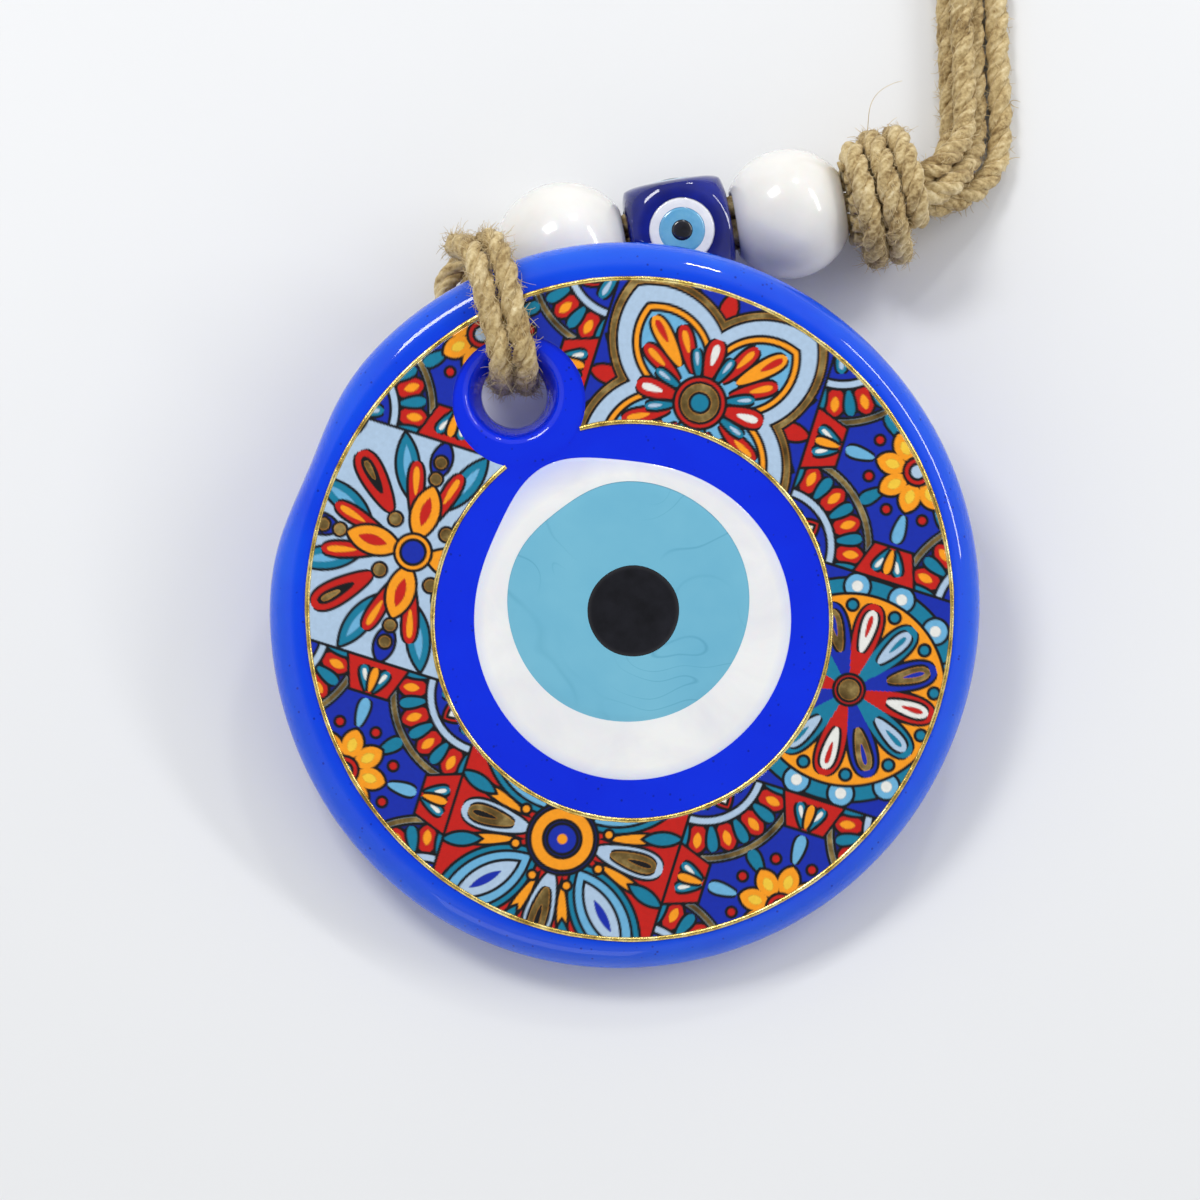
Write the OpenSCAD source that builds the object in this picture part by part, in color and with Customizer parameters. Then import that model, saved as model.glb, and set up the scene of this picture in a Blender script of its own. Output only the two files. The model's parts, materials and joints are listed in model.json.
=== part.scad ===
/* [Disc] */
// Height of the glass disc, across its longer axis
disc_h = 102.8; // [96:0.2:110]
// Width of the disc as a share of its height
disc_squeeze = 0.975; // [0.96:0.005:1]
// Thickness of the glass, with a half-round rim
disc_t = 9; // [8:0.5:10]
// Tilt of the disc, whose upper rim stands just clear of the lower bead
disc_tilt = 11.8; // [11.6:0.1:12]
// Radius of the cord hole at the front
hole_front_r = 6.5; // [6.3:0.1:7]
// Radius of the cord hole at the back
hole_back_r = 4.6; // [4.5:0.1:5]
// Radius of the round patch with no print, around the hole
notch_r = 9.3; // [9:0.1:10]

/* [Eye] */
// Radius of the white glass layer
white_r = 22.2; // [21:0.1:23]
// Radius of the light blue glass layer
iris_r = 16.9; // [16:0.1:18]
// Radius of the black pupil
pupil_r = 6.4; // [6:0.1:7]

/* [Printed band] */
// Outer radius of the band, along the disc's height
band_r = 46.0; // [45:0.1:46.5]
// Inner radius of the band
band_inner_r = 28.2; // [27:0.1:29]
// Thickness of the print
band_t = 0.15; // [0.1:0.05:0.3]
// Width of the gold lines at the band's edges
gold_w = 0.6; // [0.4:0.1:0.8]

/* [Beads] */
// Diameter of the lower white bead
lower_bead_d = 20; // [19.6:0.1:20.2]
// Edge length of the cube bead
cube_w = 15; // [14:0.5:15.5]
// Diameter of the upper white bead
upper_bead_d = 18.6; // [18:0.1:19.4]
// Radius of the hole through each bead
bead_bore_r = 4.3; // [4.25:0.05:4.6]
// Turn of the cube bead about the cords
cube_turn = 14; // [0:1:40]

/* [Cords] */
// Diameter of one jute cord
cord_d = 3.4; // [3.2:0.1:3.4]
// Turns of cord in the wrapped knot
wrap_turns = 3; // [3:1:4]

/* [Hidden] */

// Disc frame: its origin is the middle of the back face, +Z is out of the front.
disc_r = disc_h / 2;
rim_r = disc_t / 2;
disc_lift = (disc_r - rim_r) * sin(disc_tilt) - rim_r * cos(disc_tilt) + rim_r;
HOLE = [-15.5, 29.8];
NOTCH = [-14.7, 28.7];
BAND = [0.8, -0.4];
EYE = [1.1, -2.1];
IRIS = [0.6, 0.6];
PUPIL = [1.3, -0.7];
notch_depth = 0.2;
white_t = 1.6;
iris_t = 1.1;
pupil_t = 0.6;
corner_at = 120;
corner_out = 2.6;
corner_spread = 20;

// String frame: its origin is the middle of the lower bead, +X is along the cords to the knot.
string_turn = 10;
bead_gap = 0.25;
LOWER_BEAD = [-8.5, 52, lower_bead_d / 2];
lower_half = sqrt(pow(lower_bead_d / 2, 2) - pow(bead_bore_r, 2));
upper_half = sqrt(pow(upper_bead_d / 2, 2) - pow(bead_bore_r, 2));
cube_at = lower_half + bead_gap + cube_w / 2;
upper_at = cube_at + cube_w / 2 + bead_gap + upper_half;
knot_start = upper_at + upper_half + bead_gap;
wrap_pitch = cord_d + 0.2;
knot_long = wrap_turns * wrap_pitch;
knot_r = lower_bead_d / 2;
wrap_mid_r = knot_r - cord_d / 2;
core_r = wrap_mid_r - cord_d / 2;
core_short = 2.6;

// Eyes on the cube's four sides.
cube_corner_r = 10;
cube_white_r = 4.7;
cube_iris_r = 3.3;
cube_pupil_r = 1.5;
cube_white_t = 0.6;
cube_iris_t = 0.35;
cube_pupil_t = 0.2;
cube_sink = 0.3;

// Each cord of the sling lies this far to the side of the route below.
cord_side = 1.78;
cord_sides = 8;
// The sling's route above the table: along the beads, over the rim, through the hole and back.
// Each point is X, Y, Z and the compass angle of the side on which the first cord lies.
SLING_ROUTE = [
    [31, 59, 11.8, 100], [20, 57, 11.8, 100], [8, 54.9, 11.8, 100], [-4, 52.8, 11.8, 100],
    [-12, 51.4, 11.8, 100], [-17.4, 50.4, 11.8, 100], [-20, 50.1, 12.6, 106],
    [-21.8, 49.9, 14.9, 125], [-22.2, 49.9, 17.8, 155], [-21.6, 49.8, 21, 185],
    [-20.6, 49.1, 24.4, 198], [-19.6, 47.4, 27.4, 196], [-18.7, 44.6, 29.2, 188],
    [-17.8, 41, 29.5, 182], [-16.9, 37.2, 28.8, 180], [-16.1, 34.2, 28.3, 180],
    [-15.7, 32.3, 27.4, 180], [-15.5, 31.2, 25.2, 180], [-15.5, 31.2, 22.6, 180],
    [-15.5, 31, 19.4, 180], [-15.5, 31, 16.1, 180], [-15.5, 31.5, 13.4, 180], [-15.9, 33, 11, 190],
    [-17.6, 35.6, 9.5, 206], [-20, 38.8, 8.7, 211], [-22.4, 42, 8.3, 205], [-23.9, 45.3, 8.2, 184],
    [-23.3, 48.2, 8.2, 148], [-20.8, 49.8, 8.2, 112], [-17.4, 50.4, 8.2, 100],
    [-12, 51.4, 8.2, 100], [-4, 52.8, 8.2, 100], [8, 54.9, 8.2, 100], [20, 57, 8.2, 100],
    [31, 59, 8.2, 100]
];
// The two cords of the hanging loop, from the knot out along the table and back.
LOOP_A_ROUTE = [
    [41.4, 62.6, 8.3], [44.5, 64.2, 7], [46.5, 66.9, 4.9], [47.6, 69.8, 2.6], [48.1, 72.7, 1.8],
    [48, 80, 1.7], [47.8, 90, 1.7], [47.5, 100, 1.7], [47.1, 110, 1.7], [45.8, 120, 1.7],
    [43.6, 129, 1.7], [40.8, 137, 1.7], [39.2, 145, 1.7], [41.6, 153, 1.7], [46, 157, 1.7],
    [51, 158.2, 1.7], [56, 157, 1.7], [60.4, 153, 1.7], [62.8, 145, 1.7], [61.2, 137, 1.7],
    [58.4, 129, 1.7], [56.1, 120, 1.7], [55.2, 110, 1.7], [55, 100, 1.7], [55, 90, 1.7],
    [55.2, 80, 1.7], [55.2, 72.7, 1.8], [54.4, 67.3, 2.4], [51.3, 62.9, 4.4], [46.8, 60.2, 6.7],
    [42, 59.2, 8.3]
];
LOOP_B_ROUTE = [
    [42, 59.2, 11.8], [46.3, 61.2, 10.4], [49.1, 64.7, 7.2], [50.9, 68.6, 3.8], [51.6, 72.7, 2],
    [51.6, 80, 1.7], [51.4, 90, 1.7], [51.2, 100, 1.7], [51.2, 110, 1.7], [52.1, 120, 1.7],
    [54.3, 129, 1.7], [57.3, 137, 1.7], [59, 145, 1.7], [56.6, 151.6, 1.7], [51, 154.4, 1.7],
    [45.4, 151.6, 1.7], [43, 145, 1.7], [44.7, 137, 1.7], [47.3, 129, 2.3], [48.9, 120, 4.2],
    [49.3, 110, 4.8], [49.4, 100, 4.8], [49.6, 90, 4.8], [49.8, 80, 4.8], [49.8, 72.7, 5.3],
    [49, 69.3, 7.2], [47, 66.5, 9.4], [44.6, 64.1, 10.9], [41.4, 62.6, 11.8]
];

// The origin is on the table, under the middle of everything but the loop.
knot_top = LOWER_BEAD.y + (knot_start + knot_long - wrap_pitch / 2) * sin(string_turn)
    + wrap_mid_r * cos(string_turn) + cord_d / 2;
disc_bottom = -(disc_r - rim_r) * cos(disc_tilt) - rim_r * sin(disc_tilt) - rim_r;
ORIGIN = [0, (knot_top + disc_bottom) / 2, 0];

GLASS = [0.0, 0.2, 0.95];
NAVY = [0.04, 0.07, 0.4];
PEARL = [0.96, 0.95, 0.92];
SKY = [0.43, 0.72, 0.82];
INK = [0.02, 0.02, 0.03];
JUTE = [0.68, 0.56, 0.38];
GOLD = [0.72, 0.57, 0.2];
PRINT = [0.62, 0.2, 0.12];

function unit(v) = v / norm(v);
function across(v, t) = unit(v - (v * t) * t);

// A smooth curve through the points of a route, with steps rings to each stretch.
function on_curve(p, i, u) =
    let (
        a = p[max(i - 1, 0)],
        b = p[i],
        c = p[i + 1],
        d = p[min(i + 2, len(p) - 1)]
    )
    0.5 * (2 * b + (c - a) * u + (2 * a - 5 * b + 4 * c - d) * u * u
        + (3 * b - a - 3 * c + d) * u * u * u);
function curve(p, steps) = [
    for (i = [0:len(p) - 2], k = [0:steps - 1]) on_curve(p, i, k / steps),
    p[len(p) - 1]
];
function tangents(c) = [
    for (i = [0:len(c) - 1]) unit(c[min(i + 1, len(c) - 1)] - c[max(i - 1, 0)])
];
function sides(t) = [
    for (
        i = 0, s = across([0.1, 0.2, 1], t[0]);
        i < len(t);
        i = i + 1, s = i < len(t) ? across(s, t[i]) : s
    ) s
];
function beside(route, side) = [
    for (p = route) [p.x, p.y, p.z] + side * [cos(p[3]), sin(p[3]), 0]
];

module tube(c, d) {
    n = cord_sides;
    rings = len(c);
    t = tangents(c);
    s = sides(t);
    points = [
        for (i = [0:rings - 1], k = [0:n - 1])
            c[i] + d / 2 * (cos(360 * k / n) * s[i] + sin(360 * k / n) * cross(t[i], s[i]))
    ];
    walls = [
        for (i = [0:rings - 2], k = [0:n - 1])
            [i * n + k, (i + 1) * n + k, (i + 1) * n + (k + 1) % n, i * n + (k + 1) % n]
    ];
    ends = [[for (k = [0:n - 1]) k], [for (k = [n - 1:-1:0]) (rings - 1) * n + k]];
    polyhedron(points, concat(walls, ends));
}

module at_origin() {
    translate(-ORIGIN) children();
}

module on_disc() {
    at_origin() translate([0, 0, disc_lift]) rotate([disc_tilt, 0, 0]) children();
}

module on_string(along) {
    at_origin() translate(LOWER_BEAD) rotate([0, 0, string_turn]) translate([along, 0, 0]) children();
}

// The white layer is round but for a blunt corner where the glass was drawn out.
module white_outline(r) {
    polygon([
        for (a = [0:4:356])
            (r + corner_out * exp(-pow((a - corner_at) / corner_spread, 2))) * [cos(a), sin(a)]
    ]);
}

module ellipse_at(centre, r) {
    translate(centre) scale([disc_squeeze, 1]) circle(r = r, $fn = 180);
}

module disc_body() {
    color(GLASS) on_disc() difference() {
        scale([disc_squeeze, 1, 1]) rotate_extrude($fn = 180) {
            square([disc_r - rim_r, disc_t]);
            intersection() {
                translate([disc_r - rim_r, rim_r]) circle(r = rim_r, $fn = 64);
                square([disc_r, disc_t]);
            }
        }
        translate([HOLE.x, HOLE.y, 0]) cylinder(h = disc_t, r1 = hole_back_r, r2 = hole_front_r, $fn = 72);
        translate([NOTCH.x, NOTCH.y, disc_t - notch_depth]) cylinder(h = 1, r = notch_r, $fn = 72);
        translate([EYE.x, EYE.y, disc_t - white_t]) linear_extrude(white_t + 1) white_outline(white_r);
    }
}

module eye_white() {
    color(PEARL) on_disc() difference() {
        translate([EYE.x, EYE.y, disc_t - white_t]) linear_extrude(white_t) white_outline(white_r);
        translate([IRIS.x, IRIS.y, disc_t - iris_t]) cylinder(h = 2, r = iris_r, $fn = 120);
    }
}

module eye_iris() {
    color(SKY) on_disc() difference() {
        translate([IRIS.x, IRIS.y, disc_t - iris_t]) cylinder(h = iris_t, r = iris_r, $fn = 120);
        translate([PUPIL.x, PUPIL.y, disc_t - pupil_t]) cylinder(h = 2, r = pupil_r, $fn = 72);
    }
}

module eye_pupil() {
    color(INK) on_disc() translate([PUPIL.x, PUPIL.y, disc_t - pupil_t])
        cylinder(h = pupil_t, r = pupil_r, $fn = 72);
}

module decal_band() {
    color(PRINT) on_disc() translate([0, 0, disc_t]) linear_extrude(band_t) difference() {
        ellipse_at(BAND, band_r);
        translate(EYE) circle(r = band_inner_r, $fn = 180);
        translate(NOTCH) circle(r = notch_r, $fn = 72);
    }
}

module gold_outer_line() {
    color(GOLD) on_disc() translate([BAND.x, BAND.y, disc_t]) scale([disc_squeeze, 1, 1])
        linear_extrude(band_t) difference() {
            circle(r = band_r + gold_w, $fn = 180);
            circle(r = band_r, $fn = 180);
        }
}

module gold_inner_line() {
    color(GOLD) on_disc() translate([0, 0, disc_t]) linear_extrude(band_t) difference() {
        translate(EYE) circle(r = band_inner_r, $fn = 180);
        translate(EYE) circle(r = band_inner_r - gold_w, $fn = 180);
        translate(NOTCH) circle(r = notch_r, $fn = 72);
    }
}

module round_bead(d) {
    rotate([0, 90, 0]) difference() {
        sphere(d = d, $fn = 96);
        cylinder(h = d + 2, r = bead_bore_r, center = true, $fn = 72);
    }
}

module lower_bead() {
    color(PEARL) on_string(0) round_bead(lower_bead_d);
}

module upper_bead() {
    color(PEARL) on_string(upper_at) round_bead(upper_bead_d);
}

// Something on each of the cube's four sides, a height above the side.
module on_cube_sides(height) {
    on_string(cube_at) for (a = [0:90:270]) rotate([a + cube_turn, 0, 0])
        translate([0, 0, cube_w / 2 + height]) children();
}

module cube_bead() {
    color(NAVY) difference() {
        on_string(cube_at) rotate([cube_turn, 0, 0]) intersection() {
            cube(cube_w, center = true);
            rotate([0, 90, 0]) sphere(r = cube_corner_r, $fn = 96);
        }
        on_string(cube_at) rotate([0, 90, 0])
            cylinder(h = cube_w + 2, r = bead_bore_r, center = true, $fn = 72);
        on_cube_sides(-cube_sink) cylinder(h = 2, r = cube_white_r, $fn = 64);
    }
}

module cube_eye_whites() {
    color(PEARL) on_cube_sides(-cube_sink) cylinder(h = cube_white_t, r = cube_white_r, $fn = 64);
}

module cube_eye_irises() {
    color(SKY) on_cube_sides(cube_white_t - cube_sink) cylinder(h = cube_iris_t, r = cube_iris_r, $fn = 64);
}

module cube_eye_pupils() {
    color(INK) on_cube_sides(cube_white_t + cube_iris_t - cube_sink)
        cylinder(h = cube_pupil_t, r = cube_pupil_r, $fn = 48);
}

module sling_cord_a() {
    color(JUTE) at_origin() tube(curve(beside(SLING_ROUTE, cord_side), 3), cord_d);
}

module sling_cord_b() {
    color(JUTE) at_origin() tube(curve(beside(SLING_ROUTE, -cord_side), 3), cord_d);
}

module knot_wrap() {
    color(JUTE) for (i = [0:wrap_turns - 1])
        on_string(knot_start + (i + 0.5) * wrap_pitch) rotate([0, 90, 0]) rotate_extrude($fn = 96)
            translate([wrap_mid_r, 0]) circle(d = cord_d, $fn = 32);
}

module knot_core() {
    color(JUTE) on_string(knot_start) rotate([0, 90, 0])
        cylinder(h = knot_long - core_short, r = core_r, $fn = 72);
}

module loop_cord_a() {
    color(JUTE) at_origin() tube(curve(LOOP_A_ROUTE, 1), cord_d);
}

module loop_cord_b() {
    color(JUTE) at_origin() tube(curve(LOOP_B_ROUTE, 1), cord_d);
}

disc_body();
eye_white();
eye_iris();
eye_pupil();
decal_band();
gold_outer_line();
gold_inner_line();
lower_bead();
cube_bead();
cube_eye_whites();
cube_eye_irises();
cube_eye_pupils();
upper_bead();
sling_cord_a();
sling_cord_b();
knot_wrap();
knot_core();
loop_cord_a();
loop_cord_b();
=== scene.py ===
"""The evil eye ornament, lying face up on a pale table, round its CAD frame. All lengths are in metres."""

import json
import math

import bmesh
import bpy
import numpy as np
from mathutils import Matrix, Vector


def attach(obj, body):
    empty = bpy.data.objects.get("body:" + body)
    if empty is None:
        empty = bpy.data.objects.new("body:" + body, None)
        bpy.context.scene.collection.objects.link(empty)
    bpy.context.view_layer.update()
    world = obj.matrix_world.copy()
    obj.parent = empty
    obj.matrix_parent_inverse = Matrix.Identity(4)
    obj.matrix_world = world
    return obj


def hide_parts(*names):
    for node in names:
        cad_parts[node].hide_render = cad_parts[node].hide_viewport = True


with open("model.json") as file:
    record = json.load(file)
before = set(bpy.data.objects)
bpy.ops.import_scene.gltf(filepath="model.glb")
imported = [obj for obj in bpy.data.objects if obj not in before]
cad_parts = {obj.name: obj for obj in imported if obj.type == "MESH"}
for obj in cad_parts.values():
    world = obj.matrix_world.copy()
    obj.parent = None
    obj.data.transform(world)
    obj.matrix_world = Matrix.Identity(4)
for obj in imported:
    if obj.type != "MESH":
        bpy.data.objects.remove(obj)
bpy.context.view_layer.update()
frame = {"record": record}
MM = 0.001
JOINTS = {j["name"]: j for j in frame["record"]["behaviour"]["joints"]}

# The disc's frame: X to the right, Y towards the beads, Z out of the face, from the middle of the back face.
DISC_TILT = math.radians(11.8)
DISC_NORMAL = Vector((0, -math.sin(DISC_TILT), math.cos(DISC_TILT)))
DISC_Y = DISC_NORMAL.cross(Vector((1, 0, 0))).normalized()
HOLE = np.array([-15.5, 29.8]) * MM
DISC_T = 9 * MM
DISC_R = 51.4 * MM
DISC_SQUEEZE = 0.975
RIM_R = DISC_T / 2
BORE_R = 4.3 * MM
BAND_CENTRE_MM = np.array([0.8, -0.4])
BAND_R_MM = 46.0
BAND_INNER_R = 28.2 * MM
NOTCH_R = 9.3 * MM
DISC_TURN = Matrix(((1, 0, 0), DISC_Y, DISC_NORMAL)).transposed()
DISC_ORIGIN = Vector(JOINTS["sling_swing"]["pos_m"]) - DISC_TURN @ Vector((*HOLE, DISC_T / 2))
TO_DISC = Matrix.Translation(DISC_ORIGIN) @ DISC_TURN.to_4x4()

# The string frame: X along the cords to the knot, from the middle of the lower bead.
STRING_X = Vector(JOINTS["lower_bead_spin"]["axis"]).normalized()
STRING_TURN = Matrix((STRING_X, Vector((0, 0, 1)).cross(STRING_X), (0, 0, 1))).transposed()


def on_string(joint):
    """Places a shape, whose bore runs along X, on the cords at a bead's joint."""
    return Matrix.Translation(Vector(JOINTS[joint]["pos_m"])) @ STRING_TURN.to_4x4()


# Cord routes, from the CAD model's own origin on the table. The sling's points end with the compass angle
# of the side on which its first cord lies.
ORIGIN = np.array([0, 9.637, 0]) * MM
CORD_D = 3.4 * MM
CORD_SIDE = 1.78 * MM
SLING_ROUTE = [
    (31, 59.0, 11.8, 100), (20, 57.0, 11.8, 100), (8, 54.9, 11.8, 100), (-4, 52.8, 11.8, 100),
    (-12, 51.4, 11.8, 100), (-17.4, 50.4, 11.8, 100), (-20, 50.1, 12.6, 106), (-21.8, 49.9, 14.9, 125),
    (-22.2, 49.9, 17.8, 155), (-21.6, 49.8, 21, 185), (-20.6, 49.1, 24.4, 198), (-19.6, 47.4, 27.4, 196),
    (-18.7, 44.6, 29.2, 188), (-17.8, 41, 29.5, 182), (-16.9, 37.2, 28.8, 180), (-16.1, 34.2, 28.3, 180),
    (-15.7, 32.3, 27.4, 180), (-15.5, 31.2, 25.2, 180), (-15.5, 31.2, 22.6, 180), (-15.5, 31, 19.4, 180),
    (-15.5, 31, 16.1, 180), (-15.5, 31.5, 13.4, 180), (-15.9, 33, 11, 190), (-17.6, 35.6, 9.5, 206),
    (-20, 38.8, 8.7, 211), (-22.4, 42, 8.3, 205), (-23.9, 45.3, 8.2, 184), (-23.3, 48.2, 8.2, 148),
    (-20.8, 49.8, 8.2, 112), (-17.4, 50.4, 8.2, 100), (-12, 51.4, 8.2, 100), (-4, 52.8, 8.2, 100),
    (8, 54.9, 8.2, 100), (20, 57.0, 8.2, 100), (31, 59.0, 8.2, 100),
]
LOOP_A_ROUTE = [
    (41.4, 62.6, 8.3), (44.5, 64.2, 7), (46.5, 66.9, 4.9), (47.6, 69.8, 2.6), (48.1, 72.7, 1.8),
    (48, 80, 1.7), (47.8, 90, 1.7), (47.5, 100, 1.7), (47.1, 110, 1.7), (45.8, 120, 1.7), (43.6, 129, 1.7),
    (40.8, 137, 1.7), (39.2, 145, 1.7), (41.6, 153, 1.7), (46, 157, 1.7), (51, 158.2, 1.7), (56, 157, 1.7),
    (60.4, 153, 1.7), (62.8, 145, 1.7), (61.2, 137, 1.7), (58.4, 129, 1.7), (56.1, 120, 1.7),
    (55.2, 110, 1.7), (55, 100, 1.7), (55, 90, 1.7), (55.2, 80, 1.7), (55.2, 72.7, 1.8), (54.4, 67.3, 2.4),
    (51.3, 62.9, 4.4), (46.8, 60.2, 6.7), (42, 59.2, 8.3),
]
LOOP_B_ROUTE = [
    (42, 59.2, 11.8), (46.3, 61.2, 10.4), (49.1, 64.7, 7.2), (50.9, 68.6, 3.8), (51.6, 72.7, 2),
    (51.6, 80, 1.7), (51.4, 90, 1.7), (51.2, 100, 1.7), (51.2, 110, 1.7), (52.1, 120, 1.7), (54.3, 129, 1.7),
    (57.3, 137, 1.7), (59, 145, 1.7), (56.6, 151.6, 1.7), (51, 154.4, 1.7), (45.4, 151.6, 1.7),
    (43, 145, 1.7), (44.7, 137, 1.7), (47.3, 129, 2.3), (48.9, 120, 4.2), (49.3, 110, 4.8),
    (49.4, 100, 4.8), (49.6, 90, 4.8), (49.8, 80, 4.8), (49.8, 72.7, 5.3), (49, 69.3, 7.2),
    (47, 66.5, 9.4), (44.6, 64.1, 10.9), (41.4, 62.6, 11.8),
]


# Shapes ---------------------------------------------------------------------------------------------------


def add_mesh(name, points, faces, material, place=None, smooth=True, sharp=None):
    """A mesh object from points and faces, turned and moved by place."""
    mesh = bpy.data.meshes.new(name)
    points = np.asarray(points, float)
    if place is not None:
        m = np.array(place)
        points = points @ m[:3, :3].T + m[:3, 3]
    mesh.from_pydata(points.tolist(), [], [tuple(f) for f in faces])
    mesh.validate()
    mesh.update()
    if smooth:
        mesh.shade_smooth()
    if sharp is not None:
        mesh.set_sharp_from_angle(angle=math.radians(sharp))
    mesh.materials.append(material)
    obj = bpy.data.objects.new(name, mesh)
    bpy.context.collection.objects.link(obj)
    return obj


def grid_faces(rows, columns, wrap_rows=False, wrap_columns=True):
    """The quads of a grid of points, kept row by row."""
    high, wide = np.arange(rows - (not wrap_rows)), np.arange(columns - (not wrap_columns))
    i, j = np.meshgrid(high, wide, indexing="ij")
    a, b = i.ravel(), j.ravel()
    c, d = (a + 1) % rows, (b + 1) % columns
    return np.stack([a * columns + b, a * columns + d, c * columns + d, c * columns + b], axis=1)


def smooth_route(points, step):
    """Points a step apart on one smooth curve through a route in millimetres, now in metres."""
    p = np.array(points, float)
    out = []
    for i in range(len(p) - 1):
        a, b, c, d = p[max(i - 1, 0)], p[i], p[i + 1], p[min(i + 2, len(p) - 1)]
        for u in np.linspace(0, 1, 12, endpoint=False):
            out.append(
                0.5
                * (2 * b + (c - a) * u + (2 * a - 5 * b + 4 * c - d) * u**2 + (3 * b - a - 3 * c + d) * u**3)
            )
    out.append(p[-1])
    c = np.array(out) * MM
    along = np.concatenate([[0], np.cumsum(np.linalg.norm(np.diff(c, axis=0), axis=1))])
    at = np.linspace(0, along[-1], int(along[-1] / step) + 1)
    return np.stack([np.interp(at, along, c[:, k]) for k in range(3)], axis=1) - ORIGIN


def side_of(route, side):
    """The sling's route for the cord that lies to one side of it."""
    r = np.array(route, float)
    turn = np.radians(r[:, 3])
    return r[:, :3] + side / MM * np.stack([np.cos(turn), np.sin(turn), 0 * turn], axis=1)


def frames(c):
    """The tangent and two sides at each point of a curve, with no sudden turns."""
    t = np.gradient(c, axis=0)
    t /= np.linalg.norm(t, axis=1)[:, None]
    s = np.cross(t[0], (0.1, 0.2, 1))
    sides = []
    for v in t:
        s = s - s.dot(v) * v
        s = s / np.linalg.norm(s)
        sides.append(s)
    s = np.array(sides)
    return t, s, np.cross(t, s)


PLIES = 3
PLY_SIDES = 14
PLY_PITCH = 11 * MM


def twisted_cord(name, c, d, material, seed, pitch=PLY_PITCH):
    """Jute cord: three plies laid round each other, each an uneven bundle of fibres."""
    r = np.random.default_rng(seed)
    t, u, v = frames(c)
    along = np.concatenate([[0], np.cumsum(np.linalg.norm(np.diff(c, axis=0), axis=1))])
    ply_r = 0.262 * d
    lay_r = d / 2 - ply_r * 1.02
    points, faces, shade = [], [], []
    start = r.uniform(0, 2 * np.pi)
    for k in range(PLIES):
        turn = start + 2 * np.pi * (k / PLIES + along / pitch)
        wobble = 1 + 0.04 * np.sin(along / (2.7 * MM) + 2 * k) + 0.03 * np.sin(along / (1.1 * MM) + 5 * k)
        mid = c + lay_r * (np.cos(turn)[:, None] * u + np.sin(turn)[:, None] * v)
        _, pu, pv = frames(mid)
        around = np.linspace(0, 2 * np.pi, PLY_SIDES, endpoint=False)
        fibre = around[None, :] - 2 * np.pi * along[:, None] / (5.2 * MM)
        bumps = 1 + 0.055 * np.sin(4 * fibre) + 0.035 * np.sin(7 * fibre + k)
        bumps += 0.045 * r.standard_normal((len(c), PLY_SIDES))
        radius = 1.08 * ply_r * wobble[:, None] * bumps
        ring = mid[:, None] + radius[..., None] * (
            np.cos(around)[None, :, None] * pu[:, None] + np.sin(around)[None, :, None] * pv[:, None]
        )
        ring[..., 2] = np.maximum(ring[..., 2], 0.03 * MM)
        base = sum(len(p) for p in points)
        points.append(ring.reshape(-1, 3))
        faces += (grid_faces(len(c), PLY_SIDES) + base).tolist()
        faces.append([base + i for i in range(PLY_SIDES)][::-1])
        faces.append([base + (len(c) - 1) * PLY_SIDES + i for i in range(PLY_SIDES)])
        tone = r.normal(0, 0.1) + 0.12 * np.sin(3 * fibre + k) + 0.1 * np.sin(along / (6 * MM) + k)[:, None]
        tone = tone + 0.13 * r.standard_normal((len(c), PLY_SIDES))
        # Painted light and shade: on top of its random tone, each ply is lighter where its surface bulges out
        # and darker in its dips.
        shade.append((tone + 2.2 * (bumps - 1)).ravel())
    obj = add_mesh(name, np.concatenate(points), faces, material)
    give_value(obj, "tone", np.concatenate(shade))
    return obj


def give_value(obj, name, values):
    layer = obj.data.attributes.new(name, "FLOAT", "POINT")
    layer.data.foreach_set("value", np.asarray(values, np.float32))


def in_disc(points):
    """Whether any point lies in the glass, or in the print on it."""
    m = np.array(TO_DISC.inverted())
    p = points @ m[:3, :3].T + m[:3, 3]
    in_slab = (p[:, 2] > -0.3 * MM) & (p[:, 2] < DISC_T + 0.4 * MM) & (np.hypot(p[:, 0], p[:, 1]) < DISC_R)
    return bool((in_slab & (np.hypot(p[:, 0] - HOLE[0], p[:, 1] - HOLE[1]) > 4.4 * MM)).any())


def stray_fibres(name, c, d, count, material, seed, reach=1.7 * MM, floor=0.1 * MM):
    """Loose hairs that leave a cord's surface, each a thin curved prism."""
    r = np.random.default_rng(seed)
    t, u, v = frames(c)
    points, faces = [], []
    steps = 6
    for _ in range(count):
        i = r.integers(2, len(c) - 2)
        turn = r.uniform(0, 2 * np.pi)
        out = math.cos(turn) * u[i] + math.sin(turn) * v[i]
        along = t[i] * r.choice([-1, 1])
        lean = r.uniform(0.5, 2.5)
        long = reach * r.uniform(0.35, 1) * (1.6 if r.random() < 0.12 else 1)
        curl = r.normal(0, 0.8, 3)
        p = c[i] + out * d * 0.44
        heading = out + along * lean
        heading /= np.linalg.norm(heading)
        line = [p]
        for _ in range(steps):
            p = p + heading * long / steps
            p[2] = max(p[2], floor)
            line.append(p)
            heading = heading + curl / steps * 1.5 + r.normal(0, 0.08, 3)
            heading /= np.linalg.norm(heading)
        line = np.array(line)
        if in_disc(line):
            continue
        _, a, b = frames(line)
        thick = r.uniform(0.035, 0.075) * MM * np.linspace(1, 0.4, steps + 1)
        base = len(points) * (steps + 1) * 3
        ring = np.array([0, 2.1, 4.2])
        points.append(
            (
                line[:, None]
                + thick[:, None, None]
                * (np.cos(ring)[None, :, None] * a[:, None] + np.sin(ring)[None, :, None] * b[:, None])
            ).reshape(-1, 3)
        )
        faces += (grid_faces(steps + 1, 3) + base).tolist()
        faces.append([base, base + 2, base + 1])
        faces.append([base + steps * 3, base + steps * 3 + 1, base + steps * 3 + 2])
    return add_mesh(name, np.concatenate(points), faces, material)


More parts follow.
